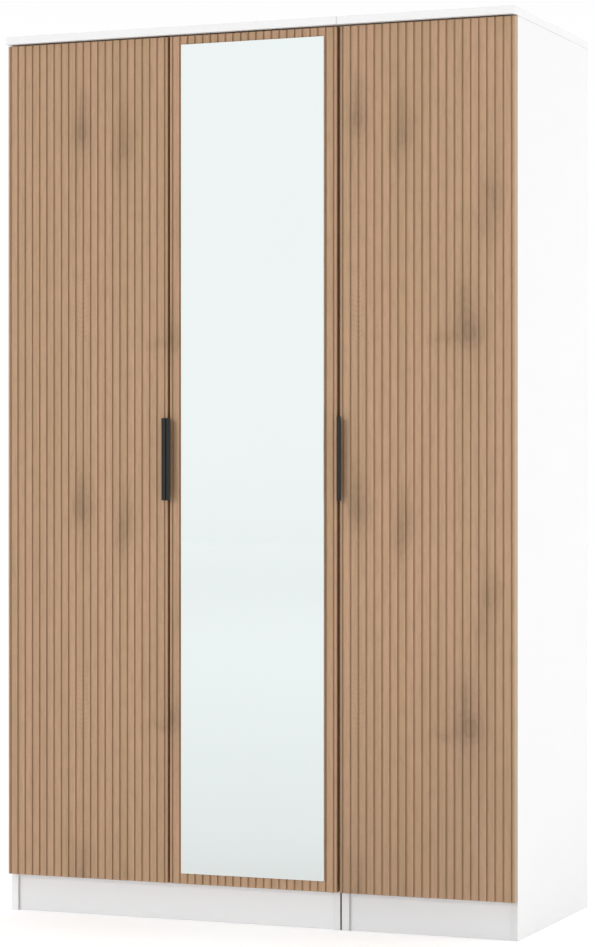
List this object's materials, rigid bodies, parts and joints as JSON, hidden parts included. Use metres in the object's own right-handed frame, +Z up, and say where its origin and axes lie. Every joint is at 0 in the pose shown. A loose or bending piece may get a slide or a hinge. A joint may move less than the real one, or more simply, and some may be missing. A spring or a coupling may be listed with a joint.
{
  "type": "wardrobe",
  "caption": "Tall white wardrobe of two joined units with grooved oak-effect hinged doors, a full-height mirror on the centre door and slim black edge handles.",
  "frame": {"origin": "on the floor, in the middle of the whole wardrobe's width and depth", "axes": "+X to the right as the doors are faced, +Y from the doors towards the wall, +Z up"},
  "size_m": [1.11, 0.5174, 1.825],
  "materials": {
    "white_board": "white melamine-faced board, satin",
    "oak_board": "warm oak-effect foil over vertical grooves, matt",
    "mirror_glass": "silvered float glass with a polished edge",
    "black_metal": "matt black powder coat",
    "bright_chrome": "bright chrome plate",
    "plain_steel": "nickel-plated pressed steel"
  },
  "bodies": {
    "carcass": {"centre_door_hinge_arm_lower": "plain_steel", "centre_door_hinge_arm_middle": "plain_steel", "centre_door_hinge_arm_upper": "plain_steel", "connector_bolt_lower_front": "plain_steel", "connector_bolt_lower_rear": "plain_steel", "connector_bolt_upper_front": "plain_steel", "connector_bolt_upper_rear": "plain_steel", "double_back_panel": "white_board", "double_bottom": "white_board", "double_hanging_rail": "bright_chrome", "double_left_side": "white_board", "double_plinth": "white_board", "double_rail_socket_left": "bright_chrome", "double_rail_socket_right": "bright_chrome", "double_rear_plinth": "white_board", "double_rear_rail": "white_board", "double_right_side": "white_board", "double_shelf": "white_board", "double_top": "white_board", "left_door_hinge_arm_lower": "plain_steel", "left_door_hinge_arm_middle": "plain_steel", "left_door_hinge_arm_upper": "plain_steel", "right_door_hinge_arm_lower": "plain_steel", "right_door_hinge_arm_middle": "plain_steel", "right_door_hinge_arm_upper": "plain_steel", "single_back_panel": "white_board", "single_bottom": "white_board", "single_hanging_rail": "bright_chrome", "single_left_side": "white_board", "single_plinth": "white_board", "single_rail_socket_left": "bright_chrome", "single_rail_socket_right": "bright_chrome", "single_rear_plinth": "white_board", "single_rear_rail": "white_board", "single_right_side": "white_board", "single_shelf": "white_board", "single_top": "white_board"},
    "left_leaf": {"left_door": "oak_board", "left_door_handle": "black_metal", "left_door_handle_screw_lower": "plain_steel", "left_door_handle_screw_upper": "plain_steel", "left_door_hinge_cup_lower": "plain_steel", "left_door_hinge_cup_middle": "plain_steel", "left_door_hinge_cup_upper": "plain_steel"},
    "centre_leaf": {"centre_door": "oak_board", "centre_door_handle": "black_metal", "centre_door_handle_screw_lower": "plain_steel", "centre_door_handle_screw_upper": "plain_steel", "centre_door_hinge_cup_lower": "plain_steel", "centre_door_hinge_cup_middle": "plain_steel", "centre_door_hinge_cup_upper": "plain_steel", "mirror": "mirror_glass"},
    "right_leaf": {"right_door": "oak_board", "right_door_handle": "black_metal", "right_door_handle_screw_lower": "plain_steel", "right_door_handle_screw_upper": "plain_steel", "right_door_hinge_cup_lower": "plain_steel", "right_door_hinge_cup_middle": "plain_steel", "right_door_hinge_cup_upper": "plain_steel"}
  },
  "joints": [
    {"name": "left_door_hinge", "type": "hinge", "parent": "carcass", "child": "left_leaf", "pos_m": [-0.55425, -0.24375, 0.94175], "axis": [0, 0, -1], "range_deg": [0, 110]},
    {"name": "centre_door_hinge", "type": "hinge", "parent": "carcass", "child": "centre_leaf", "pos_m": [0.1825, -0.24375, 0.94175], "axis": [0, 0, 1], "range_deg": [0, 95]},
    {"name": "right_door_hinge", "type": "hinge", "parent": "carcass", "child": "right_leaf", "pos_m": [0.55425, -0.24375, 0.94175], "axis": [0, 0, 1], "range_deg": [0, 110]}
  ]
}
